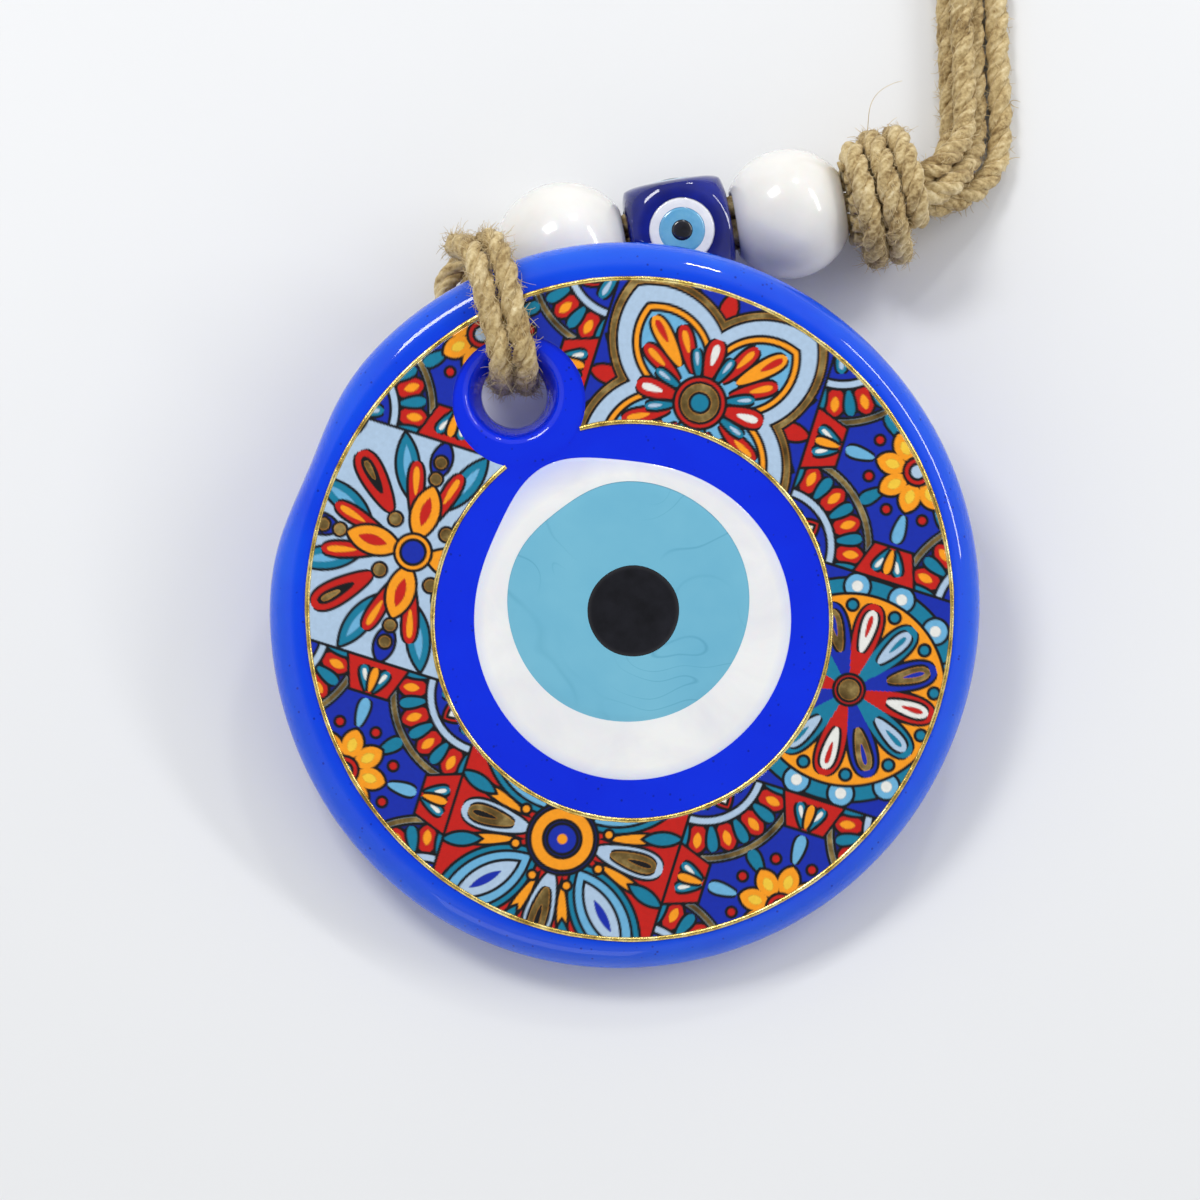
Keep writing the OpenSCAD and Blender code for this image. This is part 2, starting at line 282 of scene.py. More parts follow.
def lathe(profile, segments):
    """Points and faces of a closed outline (radius, height) turned about Z."""
    p = np.array(profile, float)
    turn = np.linspace(0, 2 * np.pi, segments, endpoint=False)
    ring = np.stack(
        [
            p[:, 0, None] * np.cos(turn),
            p[:, 0, None] * np.sin(turn),
            np.repeat(p[:, 1, None], segments, axis=1),
        ],
        axis=2,
    )
    return ring.reshape(-1, 3), grid_faces(len(p), segments, wrap_rows=True)[:, ::-1]


def subtract(obj, cutter):
    """Cuts one mesh object out of another, then removes the cutter."""
    mod = obj.modifiers.new("cut", "BOOLEAN")
    mod.operation = "DIFFERENCE"
    mod.solver = "EXACT"
    mod.object = cutter
    bpy.context.view_layer.update()
    made = bpy.data.meshes.new_from_object(obj.evaluated_get(bpy.context.evaluated_depsgraph_get()))
    obj.modifiers.clear()
    obj.data = made
    bpy.data.objects.remove(cutter)


# Materials ------------------------------------------------------------------------------------------------


class Nodes:
    """Short calls for building a material's node tree."""

    def __init__(self, name):
        self.material = bpy.data.materials.new(name)
        self.material.use_nodes = True
        self.tree = self.material.node_tree
        self.shader = self.tree.nodes["Principled BSDF"]

    def add(self, kind, inputs=(), **settings):
        n = self.tree.nodes.new("ShaderNode" + kind)
        for k, v in settings.items():
            setattr(n, k, v)
        for k, v in dict(inputs).items():
            self.put(n.inputs[k], v)
        return n

    def put(self, socket, value):
        if hasattr(value, "links"):
            self.tree.links.new(value, socket)
        else:
            socket.default_value = value

    def set(self, **values):
        for k, v in values.items():
            self.put(self.shader.inputs[k.replace("_", " ")], v)

    def coordinates(self):
        return self.add("TexCoord").outputs["Object"]

    def noise(self, scale, detail=3, vector=None, roughness=0.55, distortion=0.0):
        n = self.add(
            "TexNoise",
            {"Scale": scale, "Detail": detail, "Roughness": roughness, "Distortion": distortion},
        )
        self.put(n.inputs["Vector"], vector or self.coordinates())
        return n.outputs["Fac"]

    def ramp(self, value, *stops):
        n = self.add("ValToRGB", {"Fac": value})
        while len(n.color_ramp.elements) < len(stops):
            n.color_ramp.elements.new(0.5)
        for e, (at, colour) in zip(n.color_ramp.elements, stops):
            e.position = at
            e.color = (*colour, 1)
        return n.outputs["Color"]

    def fit(self, value, low, high, to_low, to_high):
        n = self.add(
            "MapRange",
            {"Value": value, "From Min": low, "From Max": high, "To Min": to_low, "To Max": to_high},
        )
        return n.outputs["Result"]

    def math(self, how, a, b=0.0):
        n = self.add("Math", operation=how)
        self.put(n.inputs[0], a)
        self.put(n.inputs[1], b)
        return n.outputs[0]

    def mix(self, factor, a, b, how="MIX"):
        n = self.add("Mix", data_type="RGBA", blend_type=how)
        self.put(n.inputs["Factor"], factor)
        self.put(n.inputs["A"], a if hasattr(a, "links") else (*a, 1))
        self.put(n.inputs["B"], b if hasattr(b, "links") else (*b, 1))
        return n.outputs["Result"]

    def bump(self, height, strength, distance=MM, normal=None):
        n = self.add("Bump", {"Height": height, "Strength": strength, "Distance": distance})
        if normal is not None:
            self.put(n.inputs["Normal"], normal)
        return n.outputs["Normal"]

    def value(self, name):
        return self.add("Attribute", attribute_name=name).outputs["Fac"]

    def disc_distance(self, centre, squeeze=1.0):
        """How far a point is from a centre on the disc's face, in millimetres."""
        to = TO_DISC.inverted()
        parts = []
        for row, middle, share in ((to[0], centre[0], squeeze), (to[1], centre[1], 1.0)):
            dot = self.add("VectorMath", operation="DOT_PRODUCT")
            self.put(dot.inputs[0], self.coordinates())
            dot.inputs[1].default_value = tuple(x / MM / share for x in row[:3])
            parts.append(self.math("ADD", dot.outputs["Value"], (row[3] / MM - middle) / share))
        squares = [self.math("MULTIPLY", p, p) for p in parts]
        return self.math("SQRT", self.math("ADD", *squares))


def jute_material():
    n = Nodes("jute")
    # The tone attribute holds the plies' random tone plus painted light and shade: lighter on bulges, darker
    # in dips.
    tone = n.value("tone")
    patches = n.noise(260, 4)
    fine = n.noise(2600, 4)
    mixed = n.math("ADD", n.math("MULTIPLY", tone, 0.9), n.fit(patches, 0.3, 0.7, -0.25, 0.3))
    mixed = n.math("ADD", mixed, n.fit(fine, 0.3, 0.7, -0.22, 0.22))
    colour = n.ramp(
        n.fit(mixed, -0.75, 0.75, 0, 1),
        (0.0, (0.13, 0.075, 0.025)),
        (0.28, (0.31, 0.205, 0.080)),
        (0.52, (0.53, 0.395, 0.185)),
        (0.78, (0.70, 0.565, 0.315)),
        (1.0, (0.84, 0.72, 0.46)),
    )
    n.set(Base_Color=colour, Roughness=n.fit(fine, 0.3, 0.7, 0.6, 0.85))
    n.shader.inputs["Sheen Weight"].default_value = 0.3
    n.shader.inputs["Sheen Roughness"].default_value = 0.5
    n.shader.inputs["Sheen Tint"].default_value = (0.95, 0.85, 0.65, 1)
    n.shader.inputs["Specular IOR Level"].default_value = 0.25
    n.set(Normal=n.bump(n.noise(4200, 2), 0.5, 0.12 * MM))
    return n.material


def fibre_material():
    n = Nodes("jute_fibre")
    colour = n.ramp(n.noise(500, 2), (0.3, (0.44, 0.31, 0.13)), (0.7, (0.80, 0.66, 0.40)))
    n.set(Base_Color=colour, Roughness=0.6)
    n.shader.inputs["Specular IOR Level"].default_value = 0.3
    return n.material


def glass_material():
    """Cobalt glass: deep blue, lighter where it thins at the rim, with a few tiny bubbles and specks."""
    n = Nodes("cobalt_glass")
    far = n.disc_distance((0, 0), DISC_SQUEEZE)
    cloud = n.noise(55, 3, distortion=0.6)
    rim = n.fit(far, 44, 51, 0, 1)
    body = n.ramp(cloud, (0.3, (0.0, 0.026, 0.90)), (0.7, (0.0, 0.036, 0.98)))
    edge = n.ramp(cloud, (0.3, (0.0, 0.10, 0.90)), (0.7, (0.003, 0.16, 1.0)))
    colour = n.mix(rim, body, edge)
    specks = n.add("TexVoronoi", {"Scale": 900.0, "Randomness": 1.0})
    n.put(specks.inputs["Vector"], n.coordinates())
    dots = n.fit(specks.outputs["Distance"], 0.10, 0.19, 1, 0)
    chosen = n.fit(n.noise(420, 1), 0.50, 0.56, 0, 0.8)
    colour = n.mix(n.math("MULTIPLY", dots, chosen), colour, (0.0, 0.012, 0.30))
    n.set(Base_Color=colour, Roughness=0.035)
    n.shader.inputs["IOR"].default_value = 1.5
    n.shader.inputs["Transmission Weight"].default_value = 0.25
    n.set(Normal=n.bump(n.noise(38, 2), 0.22, 0.5 * MM))
    return n.material


def white_glass_material():
    n = Nodes("white_glass")
    far = n.disc_distance((1.1, -2.1))
    cloud = n.noise(70, 4, distortion=1.2)
    white = n.ramp(cloud, (0.3, (0.80, 0.80, 0.83)), (0.65, (0.90, 0.90, 0.89)))
    lilac = n.fit(far, 20.6, 24.6, 0, 0.85)
    n.set(Base_Color=n.mix(lilac, white, (0.50, 0.55, 0.92)), Roughness=n.fit(cloud, 0.3, 0.7, 0.05, 0.09))
    n.shader.inputs["Coat Weight"].default_value = 0.5
    n.shader.inputs["Coat Roughness"].default_value = 0.02
    n.shader.inputs["Subsurface Weight"].default_value = 0.12
    n.shader.inputs["Subsurface Scale"].default_value = 1.5 * MM
    n.set(Normal=n.bump(n.noise(38, 2), 0.2, 0.5 * MM))
    return n.material


def iris_material():
    """Light blue glass with faint darker swirl lines where the melt was wound."""
    n = Nodes("light_blue_glass")
    warp = n.add("VectorMath", operation="ADD")
    n.put(warp.inputs[0], n.coordinates())
    push = n.add("TexNoise", {"Scale": 45.0, "Detail": 2.0})
    n.put(push.inputs["Vector"], n.coordinates())
    shrink = n.add("VectorMath", operation="SCALE")
    n.put(shrink.inputs[0], push.outputs["Color"])
    shrink.inputs["Scale"].default_value = 0.016
    n.put(warp.inputs[1], shrink.outputs[0])
    swirl = n.noise(30, 0.6, warp.outputs[0], distortion=1.6)
    line = n.math("PINGPONG", swirl, 0.055)
    lines = n.math("MULTIPLY", n.fit(line, 0.0, 0.006, 1, 0), n.fit(n.noise(60, 1), 0.42, 0.58, 0, 0.5))
    cloud = n.noise(90, 3)
    base = n.ramp(cloud, (0.3, (0.150, 0.455, 0.63)), (0.7, (0.185, 0.505, 0.665)))
    colour = n.mix(lines, base, (0.075, 0.31, 0.46))
    n.set(Base_Color=colour, Roughness=0.06)
    n.shader.inputs["Coat Weight"].default_value = 0.5
    n.shader.inputs["Coat Roughness"].default_value = 0.02
    n.set(Normal=n.bump(n.noise(38, 2), 0.2, 0.5 * MM))
    return n.material


def pupil_material():
    n = Nodes("black_glass")
    colour = n.ramp(n.noise(300, 3), (0.3, (0.004, 0.004, 0.006)), (0.75, (0.012, 0.012, 0.017)))
    n.set(Base_Color=colour, Roughness=0.05)
    n.set(Normal=n.bump(n.noise(38, 2), 0.2, 0.5 * MM))
    return n.material


def gold_material():
    """Thin foil: bright where it lies well, dark and brown where it has worn."""
    n = Nodes("gold_foil")
    coarse = n.noise(330, 4)
    fine = n.noise(3000, 3)
    colour = n.ramp(
        coarse, (0.32, (0.34, 0.21, 0.04)), (0.48, (0.78, 0.56, 0.15)), (0.66, (1.0, 0.86, 0.40))
    )
    n.set(Base_Color=colour)
    n.set(Roughness=n.fit(fine, 0.3, 0.7, 0.18, 0.42), Metallic=n.fit(coarse, 0.25, 0.45, 0.8, 1.0))
    n.set(Normal=n.bump(fine, 0.6, 0.1 * MM))
    return n.material


def bead_material():
    n = Nodes("white_glaze")
    cloud = n.noise(120, 4)
    n.set(
        Base_Color=n.ramp(cloud, (0.3, (0.80, 0.78, 0.735)), (0.7, (0.87, 0.855, 0.82))),
        Roughness=n.fit(n.noise(700, 3), 0.3, 0.7, 0.13, 0.22),
    )
    n.shader.inputs["Coat Weight"].default_value = 0.6
    n.shader.inputs["Coat Roughness"].default_value = 0.06
    n.shader.inputs["Subsurface Weight"].default_value = 0.1
    n.shader.inputs["Subsurface Scale"].default_value = 1.5 * MM
    n.set(Normal=n.bump(n.noise(900, 2), 0.05, 0.1 * MM))
    return n.material


def navy_material():
    n = Nodes("navy_glass")
    cloud = n.noise(140, 3)
    n.set(Base_Color=n.ramp(cloud, (0.3, (0.002, 0.006, 0.16)), (0.72, (0.004, 0.018, 0.40))), Roughness=0.04)
    n.shader.inputs["IOR"].default_value = 1.5
    n.shader.inputs["Transmission Weight"].default_value = 0.35
    n.set(Normal=n.bump(n.noise(240, 2), 0.12, 0.3 * MM))
    return n.material


def small_eye_material(name, dark, light):
    n = Nodes(name)
    n.set(Base_Color=n.ramp(n.noise(500, 3), (0.3, dark), (0.7, light)), Roughness=0.06)
    n.shader.inputs["Coat Weight"].default_value = 0.5
    n.set(Normal=n.bump(n.noise(300, 2), 0.1, 0.2 * MM))
    return n.material


def print_material():
    """The printed band: its painted pattern, gold where the pattern has foil, under a clear gloss."""
    n = Nodes("printed_band")
    paint = n.add("Attribute", attribute_name="paint").outputs["Color"]
    foil = n.value("foil")
    grain = n.noise(1500, 3)
    worn = n.noise(380, 4)
    ink = n.mix(n.fit(grain, 0.3, 0.7, 0.0, 0.10), paint, (0.0, 0.0, 0.0))
    gold = n.ramp(worn, (0.3, (0.13, 0.075, 0.02)), (0.52, (0.33, 0.215, 0.065)), (0.72, (0.78, 0.56, 0.2)))
    n.set(
        Base_Color=n.mix(foil, ink, gold),
        Metallic=n.math("MULTIPLY", foil, 0.85),
        Roughness=n.fit(foil, 0, 1, 0.22, 0.34),
    )
    n.shader.inputs["Coat Weight"].default_value = 0.5
    n.shader.inputs["Coat Roughness"].default_value = 0.04
    height = n.math("ADD", n.math("MULTIPLY", foil, 0.5), n.math("MULTIPLY", grain, 0.15))
    n.set(Normal=n.bump(height, 0.3, 0.08 * MM))
    return n.material


def table_material():
    n = Nodes("table")
    colour = n.ramp(n.noise(8, 3), (0.3, (0.79, 0.797, 0.805)), (0.7, (0.81, 0.816, 0.823)))
    n.set(Base_Color=colour, Roughness=0.65)
    return n.material


# The printed band's pattern: generic patchwork tiles -------------------------------------------------------


def srgb(r, g, b):
    c = np.array([r, g, b]) / 255
    return np.where(c <= 0.04045, c / 12.92, ((c + 0.055) / 1.055) ** 2.4)


ROYAL, TEAL, PALE = srgb(12, 42, 172), srgb(12, 125, 158), srgb(178, 203, 228)
RED, ORANGE, BLACK = srgb(200, 24, 14), srgb(255, 160, 24), srgb(8, 8, 12)
WHITE, SKYBLUE, DEEP = srgb(238, 238, 232), srgb(110, 180, 220), srgb(10, 24, 110)
TILE = 32.0
TILE_TURN = math.radians(17.5)
TILE_CENTRE = (0.98, -2.1)
OUTLINE = 0.0135
SOFT = 0.004


class Paint:
    """Colour and foil at each point of the band, painted shape over shape. Lengths are shares of a tile."""

    def __init__(self, x, y):
        self.x, self.y = x, y
        self.colour = np.tile(ROYAL, (len(x), 1))
        self.foil = np.zeros(len(x))

    def fill(self, d, colour, mask, gold=False, line=OUTLINE):
        """Fills where the distance d is below zero, with a black outline round it."""
        for far, c, g in ((line, BLACK, 0.0), (0.0, colour, float(gold))):
            share = np.clip((far - d) / SOFT + 0.5, 0, 1) * mask
            self.colour += share[:, None] * (c - self.colour)
            self.foil += share * (g - self.foil)

    def dot(self, x, y, radius, colour, mask, **how):
        self.fill(np.hypot(x, y) - radius, colour, mask, **how)


def fold(x, y, count, turn=0.0):
    """Turns the plane into one of count equal sectors, its middle along x."""
    r, a = np.hypot(x, y), np.arctan2(y, x) - turn
    half = math.pi / count
    a = (a + half) % (2 * half) - half
    return r * np.cos(a), r * np.sin(a)


def petal(x, y, near, far, wide):
    """A petal along x, pointed at both ends."""
    mid, half = (near + far) / 2, (far - near) / 2
    r = (half * half + wide * wide) / (2 * wide)
    return np.hypot(x - mid, np.abs(y) + r - wide) - r


def drop(x, y, near, far, wide):
    """A drop along x, its point at near and its round end at far."""
    s = np.clip((x - near) / (far - near), 0, 1)
    w = wide * np.sqrt(np.clip(s, 0, 1)) * np.sqrt(np.clip(1 - s**4, 0, 1)) * 1.25
    return np.where((x > near) & (x < far), np.abs(y) - w, np.maximum(np.abs(y), 0.02))


def ring(x, y, r, w):
    return np.abs(np.hypot(x, y) - r) - w


def daisy(p, x, y, m, r, petals, colours, heart, turn=0.0):
    px, py = fold(x, y, petals, turn)
    p.fill(petal(px, py, r * 0.28, r, r * math.pi / petals * 0.62), colours[0], m)
    p.fill(petal(px, py, r * 0.45, r * 0.8, r * math.pi / petals * 0.28), colours[1], m, line=0)
    p.fill(np.hypot(x, y) - r * 0.3, heart, m)


def sector(x, y, count, turn=0.0):
    """Which of count equal sectors each point is in."""
    a = np.arctan2(y, x) - turn + math.pi / count
    return np.floor(a % (2 * math.pi) / (2 * math.pi / count)).astype(int)


def leaned(u, v, spread):
    """The plane turned one way by spread, and then the other."""
    for turn in (spread, -spread):
        yield u * math.cos(turn) + v * math.sin(turn), -u * math.sin(turn) + v * math.cos(turn)


def twin_drops(p, u, v, near, far, wide, spread, colour, inside, m):
    """Two drops that lean away from the u axis."""
    for a, b in leaned(u, v, spread):
        p.fill(drop(a, b, near, far, wide), colour, m)
        p.fill(drop(a, b, near + (far - near) * 0.42, far - wide * 0.7, wide * 0.45), inside, m, line=0)


def corner_tile(p, x, y, m):
    cx, cy = 0.5 - np.abs(x), 0.5 - np.abs(y)
    from_corner = np.hypot(cx, cy)
    p.fill(from_corner - 0.41, DEEP, m, line=0)
    sx, sy = fold(cx, cy, 16, math.pi / 16)
    p.fill(petal(sx, sy, 0.262, 0.392, 0.042), RED, m)
    p.fill(petal(sx, sy, 0.300, 0.370, 0.018), ORANGE, m, line=0)
    tx, ty = fold(cx, cy, 16)
    p.fill(drop(tx, ty, 0.27, 0.385, 0.024), TEAL, m)
    p.fill(np.abs(from_corner - 0.412) - 0.011, SKYBLUE, m, gold=True)
    p.fill(np.abs(from_corner - 0.245) - 0.016, PALE, m)
    p.fill(from_corner - 0.222, ROYAL, m)
    diagonal = (cx + cy) / math.sqrt(2), (cx - cy) / math.sqrt(2)
    p.fill(petal(*diagonal, 0.02, 0.215, 0.052), RED, m)
    p.fill(petal(*diagonal, 0.05, 0.19, 0.030), WHITE, m)
    twin_drops(p, *diagonal, 0.04, 0.20, 0.026, 0.52, TEAL, PALE, m)
    ax, ay = fold(x, y, 4)
    side = np.maximum(np.abs(ay) - 0.085 - 0.35 * (ax - 0.36), np.abs(ax - 0.425) - 0.07)
    p.fill(side, RED, m)
    twin_drops(p, ax - 0.34, ay, 0.02, 0.14, 0.022, 0.42, TEAL, WHITE, m)
    p.fill(drop(ax, ay, 0.36, 0.47, 0.018), ORANGE, m)
    qx, qy = fold(x, y, 4, math.pi / 4)
    p.fill(drop(qx, qy, 0.17, 0.285, 0.028), TEAL, m)
    p.fill(drop(ax, ay, 0.20, 0.33, 0.026), SKYBLUE, m)
    ex, ey = fold(x, y, 8, math.pi / 8)
    p.dot(ex - 0.215, ey, 0.016, RED, m)
    daisy(p, x, y, m, 0.185, 8, (ORANGE, srgb(250, 205, 60)), RED)
    p.dot(x, y, 0.028, PALE, m)


def top_tile(p, x, y, m):
    qx, qy = fold(x, y, 4, math.pi / 4)
    ax, ay = fold(x, y, 4)
    for u, v in leaned(ax, ay, 0.33):
        p.fill(petal(u, v, 0.28, 0.50, 0.042), TEAL, m)
        p.fill(petal(u, v, 0.33, 0.46, 0.016), SKYBLUE, m, line=0)
    p.fill(petal(ax, ay, 0.34, 0.50, 0.036), RED, m)
    p.fill(petal(qx, qy, -0.12, 0.62, 0.262), ORANGE, m, gold=True)
    p.fill(petal(qx, qy, -0.06, 0.575, 0.225), PALE, m)
    p.fill(petal(qx, qy, 0.02, 0.485, 0.158), ORANGE, m)
    p.fill(petal(qx, qy, 0.05, 0.45, 0.128), SKYBLUE, m)
    twin_drops(p, qx, qy, 0.13, 0.35, 0.034, 0.27, RED, ORANGE, m)
    p.fill(drop(qx, qy, 0.18, 0.43, 0.038), ORANGE, m)
    p.fill(drop(qx, qy, 0.30, 0.41, 0.016), RED, m, line=0)
    p.fill(drop(ax, ay, 0.10, 0.29, 0.042), RED, m)
    p.fill(drop(ax, ay, 0.17, 0.265, 0.018), WHITE, m, line=0)
    twin_drops(p, ax, ay, 0.11, 0.24, 0.020, 0.36, TEAL, PALE, m)
    p.dot(x, y, 0.108, RED, m)
    p.dot(x, y, 0.082, ORANGE, m, gold=True)
    p.dot(x, y, 0.038, TEAL, m)


def right_tile(p, x, y, m):
    sx, sy = fold(x, y, 14)
    p.dot(x, y, 0.485, TEAL, m)
    p.dot(sx - 0.455, sy, 0.052, SKYBLUE, m)
    p.dot(sx - 0.455, sy, 0.024, WHITE, m, line=0)
    p.dot(x, y, 0.415, ORANGE, m)
    gx, gy = fold(x, y, 12, math.pi / 12)
    p.dot(gx - 0.372, gy, 0.019, TEAL, m)
    px, py = fold(x, y, 12)
    which = sector(x, y, 12) % 3
    for k, (outer, inner) in enumerate(((RED, WHITE), (ROYAL, ORANGE), (TEAL, PALE))):
        here = m * (which == k)
        p.fill(drop(px, py, 0.05, 0.392, 0.062), outer, here)
        p.fill(drop(px, py, 0.17, 0.362, 0.034), inner, here, gold=k == 1)
        p.fill(drop(px, py, 0.24, 0.338, 0.012), outer, here, line=0)
    p.dot(x, y, 0.062, RED, m)
    p.dot(x, y, 0.044, ORANGE, m, gold=True)
    cx, cy = 0.5 - np.abs(x), 0.5 - np.abs(y)
    diagonal = (cx + cy) / math.sqrt(2), (cx - cy) / math.sqrt(2)
    twin_drops(p, *diagonal, 0.01, 0.15, 0.024, 0.5, RED, WHITE, m)
    p.fill(drop(*diagonal, 0.01, 0.17, 0.026), ORANGE, m)


def bottom_tile(p, x, y, m):
    p.dot(x, y, 9, RED, m, line=0)
    qx, qy = fold(x, y, 4, math.pi / 4)
    ax, ay = fold(x, y, 4)
    for u, v in leaned(ax, ay, 0.30):
        p.fill(petal(u, v, 0.20, 0.47, 0.020), ORANGE, m)
        p.fill(petal(u, v, 0.36, 0.52, 0.026), TEAL, m)
    p.fill(petal(qx, qy, 0.12, 0.66, 0.128), TEAL, m)
    p.fill(petal(qx, qy, 0.16, 0.61, 0.096), SKYBLUE, m)
    p.fill(petal(qx, qy, 0.22, 0.53, 0.052), PALE, m)
    p.fill(petal(qx, qy, 0.30, 0.46, 0.018), ROYAL, m, line=0)
    p.fill(drop(ax, ay, 0.15, 0.46, 0.066), PALE, m)
    p.fill(drop(ax, ay, 0.22, 0.43, 0.040), ORANGE, m, gold=True)
    p.fill(drop(ax, ay, 0.30, 0.41, 0.014), BLACK, m, line=0)
    ex, ey = fold(x, y, 8, math.pi / 8)
    p.dot(ex - 0.205, ey, 0.015, ORANGE, m)
    p.dot(x, y, 0.150, DEEP, m)
    p.fill(ring(x, y, 0.112, 0.022), ORANGE, m)
    p.dot(x, y, 0.060, ROYAL, m)
    p.dot(x, y, 0.022, ORANGE, m, line=0)


def left_tile(p, x, y, m):
    p.dot(x, y, 9, PALE, m, line=0)
    ax, ay = fold(x, y, 4)
    qx, qy = fold(x, y, 4, math.pi / 4)
    cx, cy = 0.5 - np.abs(x), 0.5 - np.abs(y)
    p.dot(cx, cy, 0.13, TEAL, m)
    p.dot(cx, cy, 0.07, RED, m)
    for u, v in leaned(qx, qy, 0.42):
        p.fill(petal(u, v, 0.24, 0.52, 0.046), TEAL, m)
        p.fill(petal(u, v, 0.30, 0.47, 0.018), SKYBLUE, m, line=0)
    p.fill(drop(qx, qy, 0.20, 0.50, 0.056), RED, m)
    p.fill(drop(qx, qy, 0.29, 0.47, 0.030), BLACK, m, line=0)
    p.fill(drop(qx, qy, 0.36, 0.45, 0.013), ORANGE, m, gold=True, line=0)
    twin_drops(p, ax, ay, 0.14, 0.40, 0.034, 0.26, RED, ORANGE, m)
    p.fill(petal(ax, ay, 0.34, 0.50, 0.040), ROYAL, m)
    p.fill(petal(ax, ay, 0.06, 0.30, 0.058), ORANGE, m)
    p.fill(petal(ax, ay, 0.12, 0.25, 0.022), RED, m, line=0)
    for far in (0.335, 0.41):
        p.dot(ax - far, ay, 0.024, ORANGE, m, gold=True)
    p.dot(qx - 0.165, qy, 0.026, ORANGE, m, gold=True)
    p.dot(x, y, 0.075, ORANGE, m)
    p.dot(x, y, 0.048, ROYAL, m)


def painted(points):
    """The colour and foil of points of the band, in the disc's frame and in millimetres."""
    c, s = math.cos(TILE_TURN), math.sin(TILE_TURN)
    x, y = points[:, 0] - TILE_CENTRE[0], points[:, 1] - TILE_CENTRE[1]
    u, v = (c * x - s * y) / TILE, (s * x + c * y) / TILE
    col, row = np.clip(np.round(u), -1, 1), np.clip(np.round(v), -1, 1)
    u, v = u - col, v - row
    p = Paint(u, v)
    corner_tile(p, u, v, (col != 0) & (row != 0))
    for tile, here in (
        (top_tile, (col == 0) & (row == 1)),
        (bottom_tile, (col == 0) & (row == -1)),
        (right_tile, (col == 1) & (row == 0)),
        (left_tile, (col == -1) & (row == 0)),
    ):
        tile(p, u, v, here)
    edge = 0.5 - np.maximum(np.abs(u), np.abs(v))
    p.fill(edge - 0.006, BLACK, np.ones(len(u)), line=0)
    return p


# Camera, lights and table ----------------------------------------------------------------------------------

scene = bpy.context.scene
scene.view_settings.view_transform = "Standard"

VIEW_WIDTH = 168 * MM
CAMERA_FAR = 700 * MM
camera = bpy.data.cameras.new("camera")
camera.sensor_width = 36
camera.lens = 36 * (CAMERA_FAR - DISC_T) / VIEW_WIDTH
camera.clip_start = 0.01
camera_object = bpy.data.objects.new("camera", camera)
bpy.context.collection.objects.link(camera_object)
camera_object.matrix_world = TO_DISC @ Matrix.Translation((-3.36 * MM, 0.84 * MM, CAMERA_FAR))
scene.camera = camera_object


def soft_light(name, turn, lean, far, wide, high, power, colour=(1, 1, 1)):
    """An area light facing the disc, at an angle round its face and a lean away from straight above."""
    turn, lean = math.radians(turn), math.radians(lean)
    away = Vector((math.sin(lean) * math.cos(turn), math.sin(lean) * math.sin(turn), math.cos(lean)))
    light = bpy.data.lights.new(name, "AREA")
    light.shape = "RECTANGLE"
    light.size, light.size_y = wide, high
    light.energy = power
    light.color = colour
    obj = bpy.data.objects.new(name, light)
    bpy.context.collection.objects.link(obj)
    back = DISC_TURN @ away
    right = DISC_NORMAL.cross(back).normalized()
    turned = Matrix((right, back.cross(right), back)).transposed().to_4x4()
    obj.matrix_world = Matrix.Translation(TO_DISC @ Vector((0, 0, 0)) + back * far) @ turned


soft_light("key", 121, 46, 0.75, 0.22, 0.16, 1.9)
soft_light("right_strip", 28, 56, 0.75, 0.46, 0.06, 1.2)
soft_light("top_patch", 76, 60, 0.75, 0.07, 0.05, 0.5)
soft_light("fill", 255, 60, 0.9, 0.5, 0.3, 0.4)

world = bpy.data.worlds.new("studio")
world.use_nodes = True
# Bright walls, and a darker ceiling where the camera hangs.
sky = world.node_tree
facing = sky.nodes.new("ShaderNodeVectorMath")
facing.operation = "DOT_PRODUCT"
facing.inputs[1].default_value = DISC_NORMAL
ceiling = sky.nodes.new("ShaderNodeValToRGB")
ceiling.color_ramp.elements[0].position = 0.80
ceiling.color_ramp.elements[0].color = (0.72, 0.727, 0.738, 1)
ceiling.color_ramp.elements[1].position = 0.97
ceiling.color_ramp.elements[1].color = (0.22, 0.225, 0.235, 1)
sky.links.new(sky.nodes.new("ShaderNodeTexCoord").outputs["Generated"], facing.inputs[0])
sky.links.new(facing.outputs["Value"], ceiling.inputs["Fac"])
sky.links.new(ceiling.outputs["Color"], sky.nodes["Background"].inputs["Color"])
scene.world = world

TABLE = 1.5
table_points, table_side = [], 9
for ty in np.linspace(-TABLE, TABLE, table_side):
    for tx in np.linspace(-TABLE, TABLE, table_side):
        table_points.append((tx, ty, 0))
table_faces = grid_faces(table_side, table_side, wrap_columns=False)
table = add_mesh("table", table_points, table_faces, table_material())

# Cords -----------------------------------------------------------------------------------------------------

JUTE = jute_material()
FIBRE = fibre_material()

for name, route in (("loop_cord_a", LOOP_A_ROUTE), ("loop_cord_b", LOOP_B_ROUTE)):
    seed = 21 if name.endswith("a") else 22
    line = smooth_route(route, 0.45 * MM)
    cord = twisted_cord("jute_" + name, line, CORD_D, JUTE, seed)
    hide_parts(name)
    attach(cord, "loop")
    cuts = np.linspace(0, len(line), 6).astype(int)
    for k in range(5):
        part = line[cuts[k] : cuts[k + 1]]
        hair = stray_fibres(f"hairs_{name}_{k}", part, CORD_D, 300, FIBRE, seed * 10 + k)
        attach(hair, "loop")

